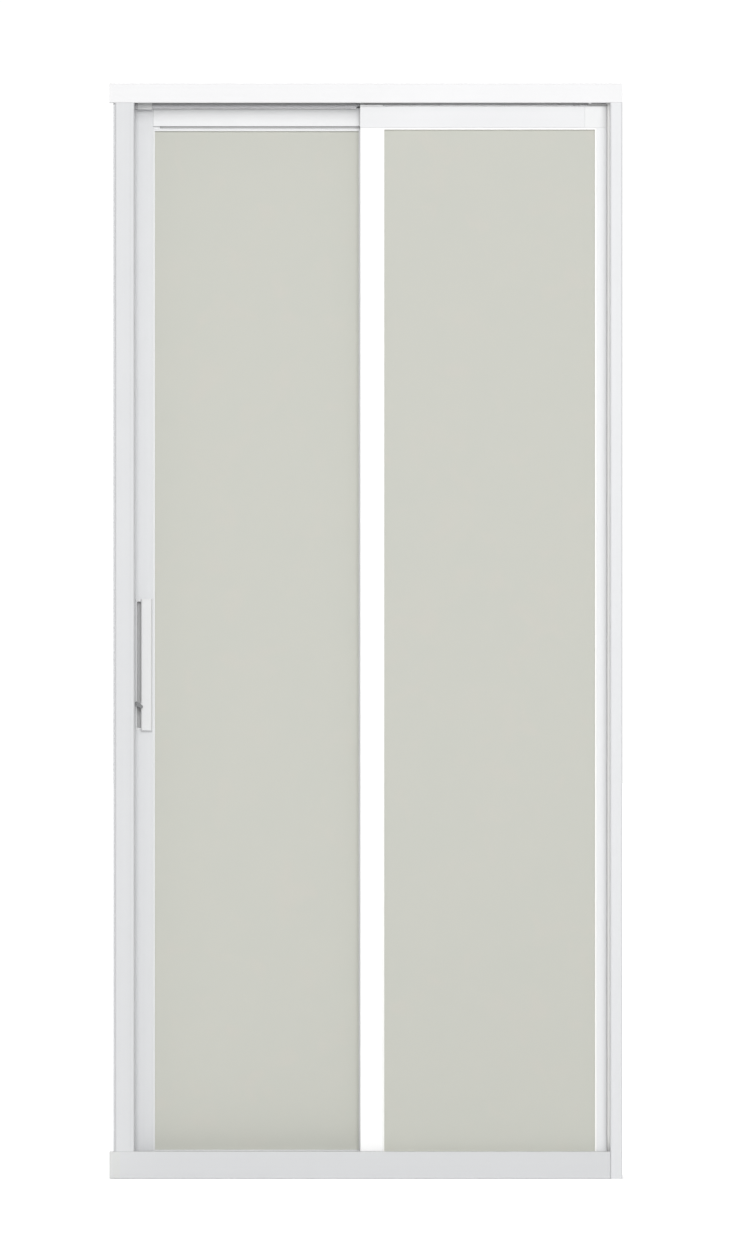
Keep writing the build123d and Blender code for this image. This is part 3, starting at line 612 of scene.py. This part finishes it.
PAN_SCREW = {"radius": 0.0038, "height": 0.0018, "depth": 0.0012}
SMALL_PAN_SCREW = {"radius": 0.0030, "height": 0.0014, "depth": 0.0010}
FLAT_SCREW = {"radius": 0.0036, "height": 0.0005, "depth": 0.0011}

# A screw head's shape: its rings and its cross, as shares of its radius and height
SCREW_SIDES = 28
SCREW_WALL = 0.45
SCREW_SHOULDER = (0.95, 0.8)
SCREW_LIP = 0.86
CROSS_REACH = 0.56
CROSS_HALF_WIDTH = 0.13
CROSS_TAPER = 0.72

# A head that is no higher than this has no shoulder
FLAT_HEAD = 0.001

FACING = {
    "left": Matrix.Rotation(math.radians(-90), 4, "Y"),
    "right": Matrix.Rotation(math.radians(90), 4, "Y"),
    "up": Matrix.Identity(4),
    "down": Matrix.Rotation(math.radians(180), 4, "X"),
    "rear": Matrix.Rotation(math.radians(-90), 4, "X"),
}


def cross_outline(reach, half_width):
    """The outline of a cross recess, as twelve points anticlockwise."""
    points = []
    for turn in range(4):
        quarter = Matrix.Rotation(math.radians(90 * turn), 2)
        for corner in ((reach, -half_width), (reach, half_width), (half_width, half_width)):
            points.append(quarter @ Vector(corner))
    return points


def screw_rings(radius, height):
    """The radius and level of each ring of a screw's head, from its seat up."""
    rings = [(radius, 0.0), (radius, height * SCREW_WALL)]
    if height > FLAT_HEAD:
        rings.append((radius * SCREW_SHOULDER[0], height * SCREW_SHOULDER[1]))
    rings.append((radius * SCREW_LIP, height))
    return rings


def add_screw(mesh, place, radius, height, depth):
    """Adds a cross-head screw; place turns the head's own +Z into the way that it faces."""
    loops = []
    for ring_radius, level in screw_rings(radius, height):
        loop = []
        for step in range(SCREW_SIDES):
            angle = 2 * math.pi * step / SCREW_SIDES
            x, y = ring_radius * math.cos(angle), ring_radius * math.sin(angle)
            loop.append(mesh.verts.new(place @ Vector((x, y, level))))
        loops.append(loop)
    for lower, upper in zip(loops, loops[1:]):
        bridge(mesh, lower, upper, smooth=True)

    outline = cross_outline(radius * CROSS_REACH, radius * CROSS_HALF_WIDTH)
    mouth = [mesh.verts.new(place @ Vector((x, y, height))) for x, y in outline]
    narrower = [(x * CROSS_TAPER, y * CROSS_TAPER, height - depth) for x, y in outline]
    floor = [mesh.verts.new(place @ Vector(spot)) for spot in narrower]
    edges = []
    for loop in (loops[-1], mouth):
        for step in range(len(loop)):
            ends = (loop[step], loop[(step + 1) % len(loop)])
            edges.append(mesh.edges.get(ends) or mesh.edges.new(ends))
    upwards = place.to_3x3() @ Vector((0, 0, 1))
    bmesh.ops.triangle_fill(mesh, edges=edges, use_beauty=True, normal=upwards)
    bridge(mesh, mouth, floor)
    mesh.faces.new(floor)
    mesh.faces.new(loops[0][::-1])


def screws(name, body, facing, size, places, seed):
    """All the screws of one kind on one body, each turned its own way."""
    turns = random.Random(seed)
    mesh = bmesh.new()
    for spot in places:
        spin = Matrix.Rotation(math.radians(turns.uniform(0, 90)), 4, "Z")
        add_screw(mesh, Matrix.Translation(Vector(spot)) @ FACING[facing] @ spin, **size)
    face_outwards(mesh)
    piece(name, mesh, body, SCREW_STEEL)


# Where the jambs' screws sit over their holes: X and Y of each jamb's row, and the heights
LEFT_JAMB_ROW = (-0.472, 0.020)
RIGHT_JAMB_ROW = (0.4975, 0.006)
JAMB_SCREW_HEIGHTS = (0.250, 0.794667, 1.339333, 1.884)

# How far in from the ends of plates, pulls, tracks, brackets and hangers their screws are
PLATE_INSET = 0.012
PULL_SIDESTEP = 0.006
NEAR_JOINT = 0.020
NEAR_STOP = 0.030
GUIDE_INSET = 0.025
BRACKET_INSET = (0.010, 0.009)
HANGER_INSET = (0.007, 0.0055)

# Screw lines on tracks and the guide rail, from their front faces, and the screws in each
TRACK_LINE = 0.0075
GUIDE_LINE = 0.012
TRACK_SCREWS = 4

# Thickness of the metal under each head
TRACK_WALL = 0.002
BOTTOM_BRACKET_PLATE = 0.0025
TOP_BRACKET_PLATE = 0.006
HANGER_FOOT = 0.003


def track_steps(low, high):
    """Where the screws of a track are, in even steps from low to high."""
    last = TRACK_SCREWS - 1
    return [low + (high - low) * step / last for step in range(TRACK_SCREWS)]


def add_jamb_screws():
    """The screws that hold the jambs to the wall, seen from inside the frame."""
    places = [(*LEFT_JAMB_ROW, z) for z in JAMB_SCREW_HEIGHTS]
    screws("left_jamb_screws", "frame", "right", PAN_SCREW, places, 1)
    places = [(*RIGHT_JAMB_ROW, z) for z in JAMB_SCREW_HEIGHTS]
    screws("right_jamb_screws", "frame", "left", PAN_SCREW, places, 2)


def add_lock_screws():
    """The screws of the strike plate and the latch, one at each end."""
    low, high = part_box("strike_plate")
    middle = (low.y + high.y) / 2
    places = [(high.x, middle, z) for z in (low.z + PLATE_INSET, high.z - PLATE_INSET)]
    screws("strike_screws", "frame", "right", FLAT_SCREW, places, 3)

    low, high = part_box("latch")
    middle = (low.y + high.y) / 2
    places = [(low.x, middle, z) for z in (low.z + PLATE_INSET, high.z - PLATE_INSET)]
    screws("latch_screws", "sliding_leaf", "left", FLAT_SCREW, places, 4)


def add_track_screws():
    """The rows of screws in the two tracks and in the guide rail."""
    low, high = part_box("fixed_track")
    y, z = low.y + TRACK_LINE, high.z - TRACK_WALL
    places = [(x, y, z) for x in track_steps(low.x + NEAR_STOP, high.x - NEAR_JOINT)]
    screws("fixed_track_screws", "frame", "down", SMALL_PAN_SCREW, places, 5)

    low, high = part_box("swing_track")
    y, z = low.y + TRACK_LINE, low.z + TRACK_WALL
    places = [(x, y, z) for x in track_steps(low.x + NEAR_JOINT, high.x - NEAR_STOP)]
    screws("swing_track_screws", "swing_leaf", "up", SMALL_PAN_SCREW, places, 6)

    low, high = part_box("guide_rail")
    y, z = low.y + GUIDE_LINE, low.z
    places = [(x, y, z) for x in track_steps(low.x + GUIDE_INSET, high.x - GUIDE_INSET)]
    screws("guide_rail_screws", "swing_leaf", "down", FLAT_SCREW, places, 7)


def add_bracket_screws():
    """The two screws in each pivot bracket."""
    from_end, from_side = BRACKET_INSET
    low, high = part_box("bottom_pivot_bracket")
    x, z = high.x - from_end, low.z + BOTTOM_BRACKET_PLATE
    places = [(x, y, z) for y in (low.y + from_side, high.y - from_side)]
    screws("bottom_bracket_screws", "frame", "up", FLAT_SCREW, places, 8)

    low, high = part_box("top_pivot_bracket")
    x, z = high.x - from_end, high.z - TOP_BRACKET_PLATE
    places = [(x, y, z) for y in (low.y + from_side, high.y - from_side)]
    screws("top_bracket_screws", "frame", "down", FLAT_SCREW, places, 9)


def add_slider_screws():
    """The screws in the feet of both hangers, and in the rear pull."""
    from_end, from_rear = HANGER_INSET
    places = []
    for end in ("leading", "trailing"):
        low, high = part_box(end + "_hanger")
        for x in (low.x + from_end, high.x - from_end):
            places.append((x, high.y - from_rear, low.z + HANGER_FOOT))
    screws("hanger_screws", "sliding_leaf", "up", SMALL_PAN_SCREW, places, 10)

    low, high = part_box("rear_pull")
    x = (low.x + high.x) / 2 + PULL_SIDESTEP
    places = [(x, high.y, z) for z in (low.z + PLATE_INSET, high.z - PLATE_INSET)]
    screws("rear_pull_screws", "sliding_leaf", "rear", FLAT_SCREW, places, 11)


# Pile seals and the brush: a thin carrier, and rows of fibres side by side

FIBRE_ROWS = (-0.0010, -0.0004, 0.0003, 0.0009)
CARRIER = 0.0010

PILE_STEP = 0.0009
PILE_LENGTHS = (0.80, 1.0)
PILE_LEAN = 0.00018
PILE_ROOT = 0.0002

BRUSH_STEP = 0.0005
BRUSH_LENGTHS = (0.85, 1.0)
BRUSH_LEAN = 0.0003
BRUSH_WIDTH = 0.0034
BRUSH_ROOT = 0.0008
BRUSH_HEIGHT = 0.0060
BRUSH_LENGTH = 0.039
BRUSH_SETBACK = 0.0060
BRUSH_FROM_HEEL = 0.055


def add_carrier(mesh, centre, size):
    """The flat strip that holds the fibres."""
    for corner in bmesh.ops.create_cube(mesh, size=1.0)["verts"]:
        corner.co = Vector(a * b for a, b in zip(corner.co, size)) + centre


def fibre_row(mesh, fibres):
    """A row of fibres as one ragged ribbon, from the root and the tip of each."""
    last = None
    for root, tip in fibres:
        ends = (mesh.verts.new(root), mesh.verts.new(tip))
        if last:
            mesh.faces.new((last[0], ends[0], ends[1], last[1]))
        last = ends


def pile_strip(name, node, body, seed):
    """A woven pile strip in place of a plain seal: its flat back, and rows of ragged fibres."""
    chance = random.Random(seed)
    low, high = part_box(node)
    middle = (low.x + high.x) / 2
    back = low.y + CARRIER
    mesh = bmesh.new()
    centre = Vector((middle, low.y + CARRIER / 2, (low.z + high.z) / 2))
    add_carrier(mesh, centre, (high.x - low.x, CARRIER, high.z - low.z))
    count = int((high.z - low.z) / PILE_STEP)
    for row in FIBRE_ROWS:
        fibres = []
        for step in range(count + 1):
            z = low.z + (high.z - low.z) * step / count
            length = (high.y - back) * chance.uniform(*PILE_LENGTHS)
            lean = chance.uniform(-PILE_LEAN, PILE_LEAN)
            root = (middle + row, back - PILE_ROOT, z)
            fibres.append((root, (middle + row + lean, back + length, z)))
        fibre_row(mesh, fibres)
    made = piece(name, mesh, body, PILE)
    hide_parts(node)


def pivot_brush(name, body, seed):
    """The short brush on the top pivot block, which closes the gap under the head."""
    chance = random.Random(seed)
    low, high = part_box("top_pivot_block")
    start = Vector((high.x - BRUSH_FROM_HEEL, low.y + BRUSH_SETBACK, high.z))
    mesh = bmesh.new()
    centre = start + Vector((BRUSH_LENGTH / 2, 0, CARRIER / 2))
    add_carrier(mesh, centre, (BRUSH_LENGTH, BRUSH_WIDTH, CARRIER))
    count = int(BRUSH_LENGTH / BRUSH_STEP)
    for row in FIBRE_ROWS:
        fibres = []
        for step in range(count + 1):
            x = start.x + BRUSH_LENGTH * step / count
            lean = chance.uniform(-BRUSH_LEAN, BRUSH_LEAN)
            length = BRUSH_HEIGHT * chance.uniform(*BRUSH_LENGTHS)
            root = (x, start.y + row, start.z + BRUSH_ROOT)
            fibres.append((root, (x, start.y + row + lean, start.z + length)))
        fibre_row(mesh, fibres)
    piece(name, mesh, body, BRUSH)


def add_seals():
    """The three pile seals, and the brush that closes the gap over the pivot block."""
    pile_strip("left_jamb_pile", "left_jamb_seal", "frame", 21)
    pile_strip("right_jamb_pile", "right_jamb_seal", "frame", 22)
    pile_strip("meeting_pile", "meeting_seal", "swing_leaf", 23)
    pivot_brush("pivot_brush", "swing_leaf", 24)


# Thin trim

STRIP_STEPS = 60
STRIP_SWAY = 0.0001

# The wiper's curved blade and its foot: X from the jamb's edge and Y from the wiper's front
WIPER_BLADE = (
    (0.0028, 0.0),
    (0.0028, 0.0010),
    (0.0006, 0.0011),
    (-0.0015, 0.0015),
    (-0.0036, 0.0022),
    (-0.0051, 0.0031),
    (-0.0053, 0.0025),
    (-0.0038, 0.0013),
    (-0.0016, 0.0005),
    (0.0003, 0.0),
)
WIPER_SETBACK = 0.0021

# The gasket's rounded lip: Y from the rail's front and Z from the gasket's low side
GASKET_LIP = (
    (0.0044, 0.0002),
    (0.0020, 0.0002),
    (0.0013, 0.0008),
    (0.0010, 0.0018),
    (0.0010, 0.0027),
    (0.0013, 0.0037),
    (0.0020, 0.0043),
    (0.0044, 0.0043),
)
GASKET_RISE = 0.0020
GASKET_START = 0.0130
GASKET_END = 0.0002


def soft_strip(mesh, section, along, low, high, seed):
    """A long soft strip along X or Z: its section across that way, slightly wavy along it."""
    chance = random.Random(seed)
    rings = []
    for step in range(STRIP_STEPS + 1):
        reach = low + (high - low) * step / STRIP_STEPS
        sway = chance.uniform(-STRIP_SWAY, STRIP_SWAY)
        if along == "z":
            spots = [(x + sway, y, reach) for x, y in section]
        else:
            spots = [(reach, y, z + sway) for y, z in section]
        rings.append([mesh.verts.new(spot) for spot in spots])
    for lower, upper in zip(rings, rings[1:]):
        bridge(mesh, lower, upper, smooth=True)
    mesh.faces.new(rings[0][::-1])
    mesh.faces.new(rings[-1])
    face_outwards(mesh)


def add_wiper():
    """The wiper that closes the groove beside the hinge post."""
    low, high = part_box("right_jamb_seal")
    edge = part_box("right_jamb")[0].x
    front = low.y + WIPER_SETBACK
    section = [(edge + x, front + y) for x, y in WIPER_BLADE]
    mesh = bmesh.new()
    soft_strip(mesh, section, "z", low.z, high.z, 10)
    piece("hinge_side_wiper", mesh, "frame", WIPER)


def add_gasket():
    """A grey gasket along the line over the sliding leaf's panel; its grey darkens that line as
    painted shade.
    """
    low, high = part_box("slider_top_rail")
    section = [(low.y + y, low.z + GASKET_RISE + z) for y, z in GASKET_LIP]
    mesh = bmesh.new()
    soft_strip(mesh, section, "x", low.x + GASKET_START, high.x - GASKET_END, 8)
    piece("rail_shadow_line_gasket", mesh, "sliding_leaf", SHADOW_LINE_GASKET)


# The rings of an end plug: how far in from the profile's outside, and how far below its end
PLUG_RINGS = ((0.0019, 0.0050), (0.0019, 0.0004), (0.0033, 0.0004), (0.0041, 0.0012))
PLUG_CORNER = 0.0010
PLUG_CORNER_STEPS = 4


def plug_ring(first, second, inset):
    """A rectangle with round corners inside two spans, as points anticlockwise."""
    margin = inset + PLUG_CORNER
    (a0, a1), (b0, b1) = first, second
    centres = [
        (a1 - margin, b1 - margin),
        (a0 + margin, b1 - margin),
        (a0 + margin, b0 + margin),
        (a1 - margin, b0 + margin),
    ]
    points = []
    for turn, (a, b) in enumerate(centres):
        for step in range(PLUG_CORNER_STEPS):
            angle = math.radians(90 * (turn + step / (PLUG_CORNER_STEPS - 1)))
            points.append((a + PLUG_CORNER * math.cos(angle), b + PLUG_CORNER * math.sin(angle)))
    return points


def end_plug(name, node, side, body):
    """A moulded plug with a dished middle, just inside a profile's left or upper cut end."""
    low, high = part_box(node)
    mesh = bmesh.new()
    loops = []
    for inset, depth in PLUG_RINGS:
        if side == "left":
            ring = plug_ring((low.y, high.y), (low.z, high.z), inset)
            spots = [(low.x + depth, a, b) for a, b in ring]
        else:
            ring = plug_ring((low.x, high.x), (low.y, high.y), inset)
            spots = [(a, b, high.z - depth) for a, b in ring]
        loops.append([mesh.verts.new(spot) for spot in spots])
    for lower, upper in zip(loops, loops[1:]):
        bridge(mesh, lower, upper)
    mesh.faces.new(loops[-1])
    mesh.faces.new(loops[0][::-1])
    face_outwards(mesh)
    piece(name, mesh, body, MOULDING)


def add_end_plugs():
    """The plugs in the leaf profiles whose cut ends show when the door is open."""
    end_plug("swing_top_rail_plug", "swing_top_rail", "left", "swing_leaf")
    end_plug("swing_bottom_rail_plug", "swing_bottom_rail", "left", "swing_leaf")
    end_plug("lock_stile_plug", "lock_stile", "top", "sliding_leaf")
    end_plug("trailing_stile_plug", "trailing_stile", "top", "sliding_leaf")


# Floor, surround, lights and camera

def add_floor():
    """A pale, plain floor just under the door, which glows a little for the camera alone."""
    mesh = bmesh.new()
    bmesh.ops.create_grid(mesh, x_segments=8, y_segments=8, size=FLOOR_REACH)
    floor = show("studio_floor", mesh_data("studio_floor", mesh))
    floor.location.z = -FLOOR_DROP
    finish = Finish("pale_floor")
    skin = finish.effect(PAINT_SKIN, Scale=40.0, Patch_Scale=0.7)
    tone = finish.blend(skin["Gloss"], (0.85, 0.85, 0.85), (0.88, 0.88, 0.88))
    finish.feed("Base Color", tone)
    finish.feed("Roughness", finish.between(skin["Height"], 0.65, 0.85))
    seen = finish.node("ShaderNodeLightPath").outputs["Is Camera Ray"]
    finish.feed("Emission Strength", finish.between(seen, 0.0, FLOOR_GLOW))
    finish.set(Emission_Color=(1.0, 1.0, 1.0, 1.0))
    floor.data.materials.append(finish.material)


def add_surround():
    """A white surround that looks brighter to the camera than the light that it gives."""
    world = bpy.data.worlds.new("white_surround")
    world.use_nodes = True
    shader = ShaderTree(world.node_tree)
    background = world.node_tree.nodes["Background"]
    background.inputs["Color"].default_value = (1.0, 1.0, 1.0, 1.0)
    seen = shader.node("ShaderNodeLightPath").outputs["Is Camera Ray"]
    strength = shader.between(seen, SURROUND_LIGHT, SURROUND_SEEN)
    shader.link(strength, background.inputs["Strength"])
    bpy.context.scene.world = world
    bpy.context.scene.view_settings.view_transform = "Standard"


def add_lights():
    """Two soft lights in front and one behind, all far away."""
    for name, (towards, strength) in LIGHTS.items():
        lamp = bpy.data.lights.new(name, "SUN")
        lamp.angle = math.radians(LIGHT_SPREAD)
        lamp.energy = strength
        made = show(name, lamp)
        made.rotation_mode = "QUATERNION"
        made.rotation_quaternion = Vector(towards).to_track_quat("Z", "Y")


def add_camera():
    """The camera at the photograph's place: square on, with a long lens."""
    lens = bpy.data.cameras.new("photograph_view")
    lens.lens = LENS_MM
    lens.sensor_width = SENSOR_MM
    lens.clip_end = VIEW_REACH
    camera = show("photograph_view", lens)
    camera.location = (VIEW_X, -VIEW_DISTANCE, VIEW_Z)
    camera.rotation_euler = (math.radians(90), 0.0, 0.0)
    bpy.context.scene.camera = camera


dress_nodes()
soften_edges()
add_jamb_screws()
add_lock_screws()
add_track_screws()
add_bracket_screws()
add_slider_screws()
add_seals()
add_wiper()
add_gasket()
add_end_plugs()
add_floor()
add_surround()
add_lights()
add_camera()
